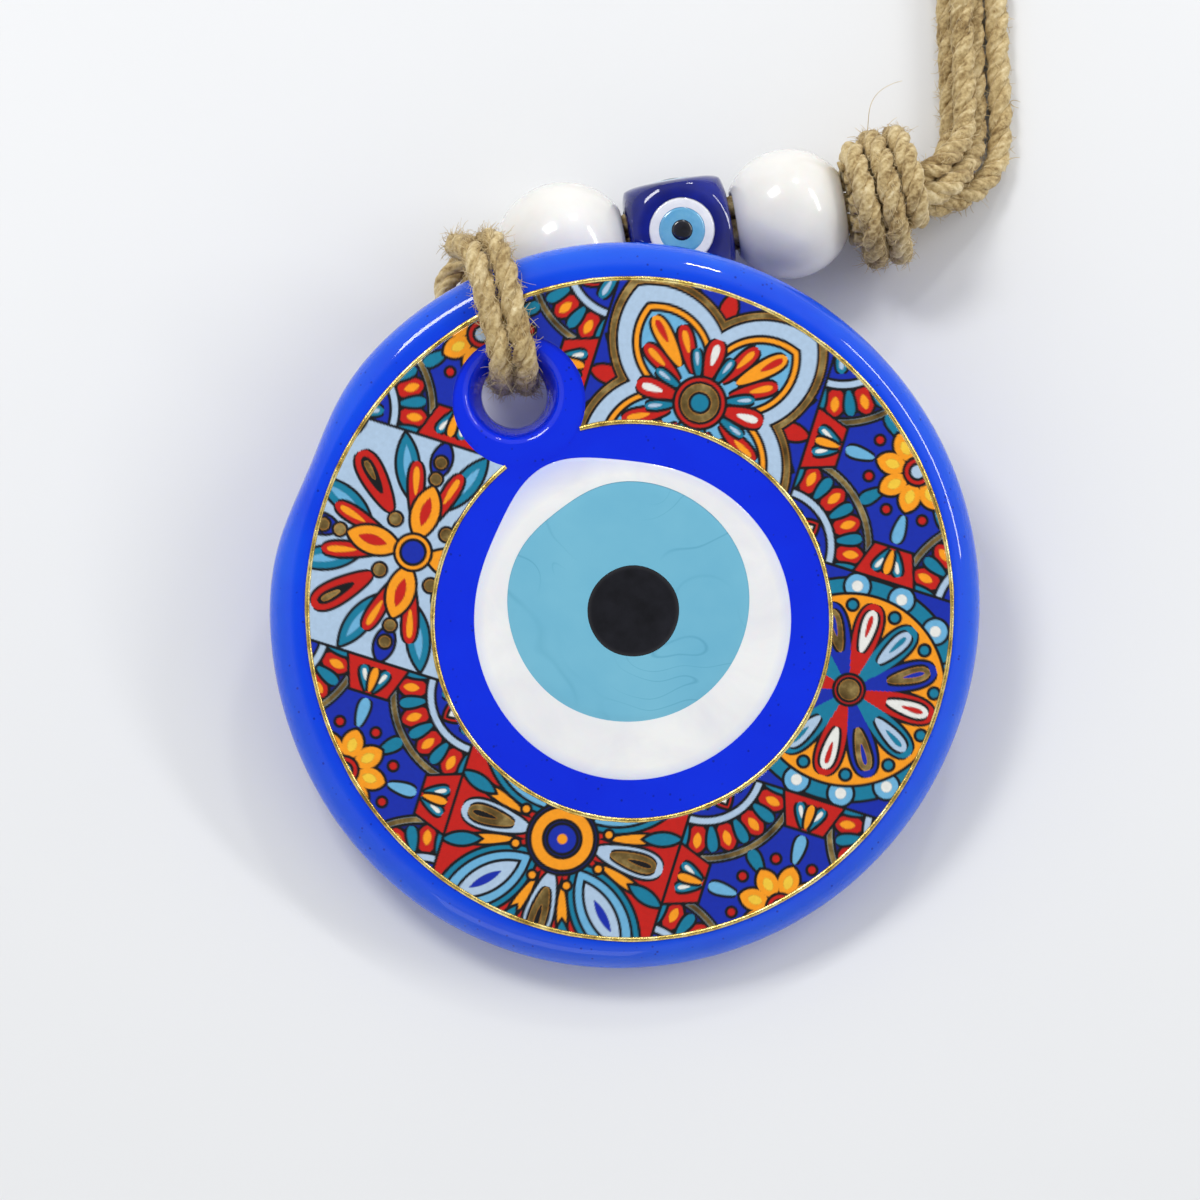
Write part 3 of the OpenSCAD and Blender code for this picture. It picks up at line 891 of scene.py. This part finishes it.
for name, side in (("sling_cord_a", CORD_SIDE), ("sling_cord_b", -CORD_SIDE)):
    seed = 31 if name.endswith("a") else 32
    line = smooth_route(side_of(SLING_ROUTE, side), 0.45 * MM)
    cord = twisted_cord("jute_" + name, line, CORD_D * 0.985, JUTE, seed)
    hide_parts(name)
    open_stretch = line[int(len(line) * 0.30) : int(len(line) * 0.60)]
    hair = stray_fibres("hairs_" + name, open_stretch, CORD_D, 900, FIBRE, seed, reach=2.1 * MM)
    for piece in (cord, hair):
        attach(piece, "sling")

# The knot: a wrap of cord round the tucked bundle.
BEAD_PLACES = [Vector(JOINTS[joint]["pos_m"]) for joint in ("lower_bead_spin", "upper_bead_spin")]
KNOT_START = float((BEAD_PLACES[1] - BEAD_PLACES[0]).length)
KNOT_START += math.sqrt(9.3**2 - 4.3**2) * MM + 0.25 * MM
WRAP_R = 8.3 * MM
PITCH = 3.6 * MM
TURNS = 2.06


def string_points(points):
    m = np.array(on_string("lower_bead_spin"))
    return np.asarray(points) @ m[:3, :3].T + m[:3, 3]


turn = np.linspace(-0.16, TURNS + 0.16, 480)
tuck = np.clip((np.abs(turn - TURNS / 2) - TURNS / 2) / 0.16, 0, 1)
helix_r = WRAP_R - 2.6 * MM * tuck**2
helix_x = KNOT_START + 1.75 * MM + PITCH * np.clip(turn, 0, TURNS)
angle = 2 * np.pi * turn + 1.2
wrap_line = string_points(np.stack([helix_x, helix_r * np.cos(angle), helix_r * np.sin(angle)], axis=1))
wrap = twisted_cord("jute_knot_wrap", wrap_line, CORD_D, JUTE, 41)
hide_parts("knot_wrap")
wrap_hair = stray_fibres("hairs_knot", wrap_line[60:-60], CORD_D, 1100, FIBRE, 42, reach=2.2 * MM)

STRANDS = 10
CORE_LONG = 7.8 * MM
core_points, core_faces, core_tones = [], [], []
for k in range(STRANDS):
    a = 2 * np.pi * k / STRANDS
    x = np.linspace(KNOT_START + 0.1 * MM, KNOT_START + CORE_LONG, 26)
    r = 4.95 * MM + 0.12 * MM * np.sin(3 * k + np.linspace(0, 4, 26))
    strand = string_points(np.stack([x, r * np.cos(a + 0 * x), r * np.sin(a + 0 * x)], axis=1))
    piece = twisted_cord(f"strand_{k}", strand, 3.0 * MM, JUTE, 50 + k)
    start = sum(len(p) for p in core_points)
    core_points.append(np.array([v.co for v in piece.data.vertices]))
    core_faces += [[start + i for i in f.vertices] for f in piece.data.polygons]
    core_tones.append(np.array([d.value for d in piece.data.attributes["tone"].data]))
    bpy.data.objects.remove(piece)
core = add_mesh("jute_knot_core", np.concatenate(core_points), core_faces, JUTE)
give_value(core, "tone", np.concatenate(core_tones))
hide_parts("knot_core")

# One long fibre has come loose from the knot and curls back.
s = np.linspace(0, 1, 60)
curl = np.stack(
    [
        KNOT_START + (4.6 + 3.2 * s - 3.4 * s**2 * np.cos(3 * s)) * MM,
        (8.7 + 10.5 * s - 3 * s**3) * MM,
        (0.2 + 2.6 * np.sin(2.4 * s)) * MM,
    ],
    axis=1,
)
curl = string_points(curl)
_, ca, cb = frames(curl)
corners = np.array([0, 2.1, 4.2])
thin = 0.07 * MM * (1 - 0.5 * s)
tube = curl[:, None] + thin[:, None, None] * (
    np.cos(corners)[None, :, None] * ca[:, None] + np.sin(corners)[None, :, None] * cb[:, None]
)
loose = add_mesh(
    "long_fibre",
    tube.reshape(-1, 3),
    grid_faces(60, 3).tolist() + [[0, 2, 1], [177, 178, 179]],
    FIBRE,
)
for piece in (wrap, wrap_hair, core, loose):
    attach(piece, "sling")

# The disc --------------------------------------------------------------------------------------------------

TURNS_ROUND = 320
around = np.linspace(0, 2 * np.pi, TURNS_ROUND, endpoint=False)


def disc_ring(flat, out, z, flattened=1.0):
    """One ring of the disc: flat is its radius on the face, out its share of the rim's width."""
    uneven = 0.16 * np.sin(2 * around + 0.6) + 0.11 * np.sin(3 * around + 2.1) + 0.06 * np.sin(5 * around)
    dent = 1.7 * np.exp(-(((np.degrees(around) - 157) / 12.5) ** 2))
    r = flat + out * (4.5 * MM + (uneven - 0.15 - dent * flattened) * MM)
    return np.stack([DISC_SQUEEZE * r * np.cos(around), r * np.sin(around), np.full(TURNS_ROUND, z)], axis=1)


FLAT_R = 46.9 * MM
rings = [disc_ring(r * MM, 0, 0) for r in (12, 24, 36, 44)]
for a in np.linspace(-90, 90, 27):
    rings.append(
        disc_ring(FLAT_R, math.cos(math.radians(a)), RIM_R * (1 + math.sin(math.radians(a))))
    )
rings += [disc_ring(r * MM, 0, DISC_T) for r in (44, 36, 24, 12)]
points = np.concatenate(rings + [np.array([[0, 0, 0], [0, 0, DISC_T]])])
faces = grid_faces(len(rings), TURNS_ROUND).tolist()
bottom, top = len(points) - 2, len(points) - 1
last = (len(rings) - 1) * TURNS_ROUND
for j in range(TURNS_ROUND):
    k = (j + 1) % TURNS_ROUND
    faces.append([bottom, k, j])
    faces.append([top, last + j, last + k])
GLASS = glass_material()
disc = add_mesh("glass_disc", points, faces, GLASS)

EYE = np.array([1.1, -2.1]) * MM
IRIS = np.array([0.6, 0.6]) * MM
PUPIL = np.array([1.3, -0.7]) * MM
NOTCH = np.array([-14.7, 28.7]) * MM


def white_outline(n=180):
    a = np.linspace(0, 2 * np.pi, n, endpoint=False)
    degrees = np.degrees(a)
    r = (22.2 + 2.6 * np.exp(-(((degrees - 120) / 20) ** 2)) + 0.12 * np.sin(3 * a + 1)) * MM
    return EYE + np.stack([r * np.cos(a), r * np.sin(a)], axis=1)


def round_outline(centre, radius, n=180, flat_at=None):
    a = np.linspace(0, 2 * np.pi, n, endpoint=False)
    r = radius * (1 + 0.004 * np.sin(2 * a + 0.8) + 0.003 * np.sin(5 * a))
    if flat_at is not None:
        r = r - 0.7 * MM * np.exp(-(((np.degrees(a) - flat_at) / 22) ** 2))
    return centre + np.stack([r * np.cos(a), r * np.sin(a)], axis=1)


def prism(outline, low, high):
    n = len(outline)
    points = np.concatenate([np.column_stack([outline, np.full(n, z)]) for z in (low, high)])
    faces = [[j, (j + 1) % n, n + (j + 1) % n, n + j] for j in range(n)]
    return points, faces + [list(range(n))[::-1], list(range(n, 2 * n))]


WHITE_LINE = white_outline()
IRIS_LINE = round_outline(IRIS, 16.9 * MM, flat_at=128)
PUPIL_LINE = round_outline(PUPIL, 6.4 * MM)
cutter = add_mesh("cutter", *prism(WHITE_LINE, DISC_T - 1.6 * MM, DISC_T + 2 * MM), GLASS)
subtract(disc, cutter)
notch_line = round_outline(NOTCH, NOTCH_R, 128)
cutter = add_mesh("cutter", *prism(notch_line, DISC_T - 0.2 * MM, DISC_T + 2 * MM), GLASS)
subtract(disc, cutter)
hole_profile = [(0.0, -3.0), (6.2, -3.0), (6.2, -0.4)]
hole_profile += [
    (4.6 + 1.6 * (1 - math.sin(t)), 1.3 - 1.3 * math.cos(t)) for t in np.linspace(0.2, 1.57, 8)
]
hole_profile += [(4.6 + 1.7 * (z / 9) ** 1.3, z) for z in (2.2, 3.4, 4.8, 6.2, 7.2)]
hole_profile += [(6.1 + 1.3 * (1 - math.cos(t)), 7.7 + 1.1 * math.sin(t)) for t in np.linspace(0.15, 1.35, 8)]
hole_profile += [(7.4, 12.0), (0.0, 12.0)]
n = 96
hole_points = [np.array([[0, 0, -3.0], [0, 0, 12.0]])]
hole_rings = hole_profile[1:-1]
turn = np.linspace(0, 2 * np.pi, n, endpoint=False)
for r, z in hole_rings:
    hole_points.append(np.column_stack([r * np.cos(turn), r * np.sin(turn), np.full(n, z)]))
hole_points = np.concatenate(hole_points) * MM + np.array([HOLE[0], HOLE[1], 0])
hole_faces = [[0, 2 + (j + 1) % n, 2 + j] for j in range(n)]
for i in range(len(hole_rings) - 1):
    for j in range(n):
        a, b = 2 + i * n + j, 2 + i * n + (j + 1) % n
        hole_faces.append([a, b, b + n, a + n])
end = 2 + (len(hole_rings) - 1) * n
hole_faces += [[1, end + j, end + (j + 1) % n] for j in range(n)]
cutter = add_mesh("cutter", hole_points, hole_faces, GLASS)
subtract(disc, cutter)
disc.data.transform(TO_DISC)
disc.data.shade_smooth()
disc.data.set_sharp_from_angle(angle=math.radians(32))
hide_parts("disc_body")


def plate(name, outer, inner, material, low, edge, rise, rows=16, place=TO_DISC):
    """A shallow domed layer from an inner outline, or a middle point, to an outer one."""
    n = len(outer)
    middle = np.mean(outer, axis=0)
    top_rows = []
    for s in np.linspace(1, 0, rows):
        inside = inner if inner is not None else np.tile(middle, (n, 1))
        xy = inside + (outer - inside) * s
        if inner is None and s == 0:
            break
        z = edge + rise * (1 - s**2) - 0.12 * MM * max(0.0, s - 0.985) / 0.015
        top_rows.append(np.column_stack([xy, np.full(n, z)]))
    grid = [np.column_stack([outer, np.full(n, low)])] + top_rows
    if inner is not None:
        grid.append(np.column_stack([inner, np.full(n, low)]))
    points = np.concatenate(grid)
    faces = grid_faces(len(grid), n, wrap_rows=inner is not None).tolist()
    if inner is None:
        tail = len(points)
        points = np.concatenate([points, [[*middle, edge + rise], [*middle, low]]])
        base = (len(grid) - 1) * n
        faces += [[tail, base + j, base + (j + 1) % n] for j in range(n)]
        faces += [[tail + 1, (j + 1) % n, j] for j in range(n)]
    return add_mesh(name, points, faces, material, place, sharp=40)


WHITE_GLASS = white_glass_material()
white = plate("eye_white_layer", WHITE_LINE, IRIS_LINE, WHITE_GLASS, 7.4 * MM, 9.06 * MM, 0.16 * MM)
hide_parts("eye_white")
iris = plate("eye_iris_layer", IRIS_LINE, PUPIL_LINE, iris_material(), 7.9 * MM, 9.24 * MM, 0.12 * MM)
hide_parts("eye_iris")
pupil = plate("eye_pupil_layer", PUPIL_LINE, None, pupil_material(), 8.4 * MM, 9.38 * MM, 0.2 * MM)
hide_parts("eye_pupil")

# The printed band: a fine sheet between its inner and outer edges, left out round the cord hole.
COLUMNS, ROWS = 1640, 108
angle = np.linspace(0, 2 * np.pi, COLUMNS, endpoint=False)
way = np.stack([np.cos(angle), np.sin(angle)], axis=1)
offset = EYE / MM - BAND_CENTRE_MM
scale_x = BAND_R_MM * DISC_SQUEEZE
qa = (way[:, 0] / scale_x) ** 2 + (way[:, 1] / BAND_R_MM) ** 2
qb = 2 * (way[:, 0] * offset[0] / scale_x**2 + way[:, 1] * offset[1] / BAND_R_MM**2)
qc = (offset[0] / scale_x) ** 2 + (offset[1] / BAND_R_MM) ** 2 - 1
outer_r = (-qb + np.sqrt(qb**2 - 4 * qa * qc)) / (2 * qa) * MM
inner_r = np.full(COLUMNS, BAND_INNER_R)
share = np.linspace(0, 1, ROWS)[:, None]
radius = inner_r + (outer_r - inner_r) * share
xy = EYE + radius[..., None] * way
from_notch = xy - NOTCH
gap = np.linalg.norm(from_notch, axis=2)
near = gap < NOTCH_R
deep = gap < NOTCH_R - 0.24 * MM
xy[near & ~deep] = (NOTCH + from_notch / gap[..., None] * NOTCH_R)[near & ~deep]
top = np.dstack([xy, np.full(gap.shape, DISC_T + 0.13 * MM)]).reshape(-1, 3)
quads = grid_faces(ROWS, COLUMNS)[:, ::-1]
quads = quads[~deep.ravel()[quads].any(axis=1)]
pairs = np.concatenate([quads[:, [k, (k + 1) % 4]] for k in range(4)])
both = {tuple(e) for e in pairs.tolist()}
rim_edges = [e for e in both if (e[1], e[0]) not in both]
used = np.unique(quads)
renumber = np.full(len(top), -1)
renumber[used] = np.arange(len(used))
rim_points = sorted({v for e in rim_edges for v in e})
below = {v: len(used) + i for i, v in enumerate(rim_points)}
under = top[rim_points].copy()
under[:, 2] = DISC_T - 0.02 * MM
points = np.concatenate([top[used], under])
faces = renumber[quads].tolist()
faces += [[renumber[b], renumber[a], below[a], below[b]] for a, b in rim_edges]
PRINT = print_material()
band = add_mesh("printed_band", points, faces, PRINT, TO_DISC)
paint = painted(points[:, :2] / MM)
layer = band.data.attributes.new("paint", "FLOAT_COLOR", "POINT")
colours = np.column_stack([paint.colour, np.ones(len(points))])
layer.data.foreach_set("color", colours.astype(np.float32).ravel())
give_value(band, "foil", paint.foil)
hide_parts("decal_band")


def foil_line(name, centre, radius, squeeze, material, node, seed, skip=None):
    """A thin uneven line of foil round a centre, left out inside a circle."""
    r = np.random.default_rng(seed)
    n = 900
    a = np.linspace(0, 2 * np.pi, n, endpoint=False)
    wave = sum(
        r.uniform(0.2, 1) / (1 + k * 0.06) * np.sin(k * a + r.uniform(0, 6.28))
        for k in (5, 11, 19, 31, 47, 73)
    )
    width = (0.62 + 0.075 * wave) * MM
    middle = radius + 0.02 * MM * wave
    rows = []
    for side, z in ((-0.5, 8.98), (-0.46, 9.17), (0.0, 9.2), (0.46, 9.17), (0.5, 8.98)):
        d = middle + side * width
        x, y = centre[0] + squeeze * d * np.cos(a), centre[1] + d * np.sin(a)
        rows.append(np.column_stack([x, y, np.full(n, z * MM)]))
    grid = np.stack(rows)
    keep = np.ones(n, bool)
    if skip is not None:
        keep = np.linalg.norm(grid[2, :, :2] - skip[0], axis=1) > skip[1]
    faces = grid_faces(5, n, wrap_rows=True)[:, ::-1]
    faces = faces[(keep[faces % n]).all(axis=1)]
    used = np.unique(faces)
    renumber = np.full(5 * n, -1)
    renumber[used] = np.arange(len(used))
    obj = add_mesh(name, grid.reshape(-1, 3)[used], renumber[faces].tolist(), material, TO_DISC)
    if skip is not None:
        bm = bmesh.new()
        bm.from_mesh(obj.data)
        bmesh.ops.holes_fill(bm, edges=[e for e in bm.edges if e.is_boundary], sides=8)
        bm.to_mesh(obj.data)
        bm.free()
    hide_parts(node)
    return obj


GOLD = gold_material()
outer_gold = foil_line(
    "gold_outer", BAND_CENTRE_MM * MM, 46.3 * MM, DISC_SQUEEZE, GOLD, "gold_outer_line", 61
)
inner_gold = foil_line("gold_inner", EYE, 27.9 * MM, 1, GOLD, "gold_inner_line", 62, (NOTCH, NOTCH_R))

for piece, slot in (
    (disc, "disc_glass"),
    (white, "white_glass"),
    (iris, "light_blue_glass"),
    (pupil, "black_glass"),
    (band, "printed_band"),
    (outer_gold, "gold_foil"),
    (inner_gold, "gold_foil"),
):
    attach(piece, "disc")

# Beads -----------------------------------------------------------------------------------------------------


def bead(name, diameter, joint, body, node, material, seed):
    """A glazed round bead with soft lips round its bore, slightly out of round."""
    big, bore, lip = diameter / 2, BORE_R, 0.6 * MM
    start = math.asin((bore + lip) / big)
    outline = [(big * math.sin(t), big * math.cos(t)) for t in np.linspace(start, math.pi - start, 72)]
    top = big * math.cos(start)
    turned = [(bore + lip * (1 - math.cos(t)), top - lip + lip * math.sin(t)) for t in np.linspace(0, 1.3, 7)]
    bore_rows = [(bore, z) for z in np.linspace(-(top - lip), top - lip, 9)]
    profile = outline + [(r, -z) for r, z in turned[::-1]] + bore_rows[1:-1] + turned
    points, faces = lathe(profile, 112)
    r = np.random.default_rng(seed)
    way = points / np.linalg.norm(points, axis=1)[:, None]
    for _ in range(5):
        axis = r.normal(size=3)
        points = points * (1 + 0.0022 * np.sin(2.4 * way @ axis + r.uniform(0, 6)))[:, None]
    turn = Matrix.Rotation(math.radians(90), 4, "Y")
    obj = add_mesh(name, points, faces, material, on_string(joint) @ turn, sharp=60)
    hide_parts(node)
    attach(obj, body)
    return obj


GLAZE = bead_material()
bead("white_bead_low", 20 * MM, "lower_bead_spin", "low_bead", "lower_bead", GLAZE, 71)
bead("white_bead_high", 18.6 * MM, "upper_bead_spin", "high_bead", "upper_bead", GLAZE, 72)

# The cube: rounded corners, a bore along the cords and an eye of layered dots on each of four sides.
HALF = 7.5 * MM
SIDE_STEPS = 26
bm = bmesh.new()
bmesh.ops.create_grid(bm, x_segments=SIDE_STEPS, y_segments=SIDE_STEPS, size=HALF)
face_points = np.array([v.co for v in bm.verts])
face_faces = [[v.index for v in f.verts] for f in bm.faces]
bm.free()
face_points[:, 2] = HALF
all_points, all_faces = [], []
for matrix in (
    Matrix.Identity(3),
    Matrix.Rotation(math.pi / 2, 3, "X"),
    Matrix.Rotation(math.pi, 3, "X"),
    Matrix.Rotation(-math.pi / 2, 3, "X"),
    Matrix.Rotation(math.pi / 2, 3, "Y"),
    Matrix.Rotation(-math.pi / 2, 3, "Y"),
):
    base = len(all_points) * len(face_points)
    all_points.append(face_points @ np.array(matrix).T)
    all_faces += [[base + i for i in f] for f in face_faces]
cube_points = np.concatenate(all_points)
ball = 10 * MM
reach = np.linalg.norm(cube_points, axis=1)
soft = (reach**-14 + ball**-14) ** (-1 / 14)
cube_points = cube_points * (soft / reach)[:, None]
NAVY = navy_material()
CUBE_TURN = Matrix.Rotation(math.radians(14), 4, "X")
cube = add_mesh("navy_cube", cube_points, all_faces, NAVY)
bm = bmesh.new()
bm.from_mesh(cube.data)
bmesh.ops.remove_doubles(bm, verts=bm.verts, dist=0.01 * MM)
bmesh.ops.recalc_face_normals(bm, faces=bm.faces)
bm.to_mesh(cube.data)
bm.free()
bore_line = round_outline(np.zeros(2), BORE_R, 64)
bore_points, bore_faces = prism(bore_line, -12 * MM, 12 * MM)
flip = np.array(Matrix.Rotation(math.radians(90), 3, "Y"))
cutter = add_mesh("cutter", bore_points @ flip.T, bore_faces, NAVY)
subtract(cube, cutter)
for k in range(4):
    dot_points, dot_faces = prism(round_outline(np.zeros(2), 4.7 * MM, 72), HALF - 0.45 * MM, HALF + 3 * MM)
    spun = np.array(Matrix.Rotation(k * math.pi / 2, 3, "X"))
    cutter = add_mesh("cutter", dot_points @ spun.T, dot_faces, NAVY)
    subtract(cube, cutter)
cube.data.transform(on_string("cube_bead_spin") @ CUBE_TURN)
cube.data.shade_smooth()
cube.data.set_sharp_from_angle(angle=math.radians(35))
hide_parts("cube_bead")
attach(cube, "eye_cube")

CUBE_WHITE = small_eye_material("cube_white", (0.78, 0.79, 0.84), (0.9, 0.9, 0.92))
CUBE_BLUE = small_eye_material("cube_blue", (0.10, 0.36, 0.60), (0.17, 0.46, 0.68))
CUBE_BLACK = small_eye_material("cube_black", (0.004, 0.004, 0.006), (0.02, 0.02, 0.03))
# Node, outer and inner radius, bottom, edge height and rise, all in millimetres, then material and slot.
SMALL = (
    ("cube_eye_whites", 4.7, 3.3, 7.05, 7.34, 0.16, CUBE_WHITE, "white_glass"),
    ("cube_eye_irises", 3.3, 1.5, 7.2, 7.52, 0.14, CUBE_BLUE, "light_blue_glass"),
    ("cube_eye_pupils", 1.5, None, 7.3, 7.68, 0.16, CUBE_BLACK, "black_glass"),
)
for node, outer_r_mm, inner_r_mm, low, edge, rise, material, slot in SMALL:
    made = []
    for k in range(4):
        spun = Matrix.Rotation(k * math.pi / 2, 4, "X")
        outer = round_outline(np.zeros(2), outer_r_mm * MM, 72)
        inner = None if inner_r_mm is None else round_outline(np.zeros(2), inner_r_mm * MM, 72)
        made.append(
            plate(
                "dot", outer, inner, material, low * MM, edge * MM, rise * MM, 9,
                on_string("cube_bead_spin") @ CUBE_TURN @ spun,
            )
        )
    bm = bmesh.new()
    for piece in made:
        bm.from_mesh(piece.data)
        bpy.data.objects.remove(piece)
    mesh = bpy.data.meshes.new("small_" + node)
    bm.to_mesh(mesh)
    bm.free()
    mesh.shade_smooth()
    mesh.set_sharp_from_angle(angle=math.radians(40))
    mesh.materials.append(material)
    dots = bpy.data.objects.new("small_" + node, mesh)
    bpy.context.collection.objects.link(dots)
    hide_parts(node)
    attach(dots, "eye_cube")
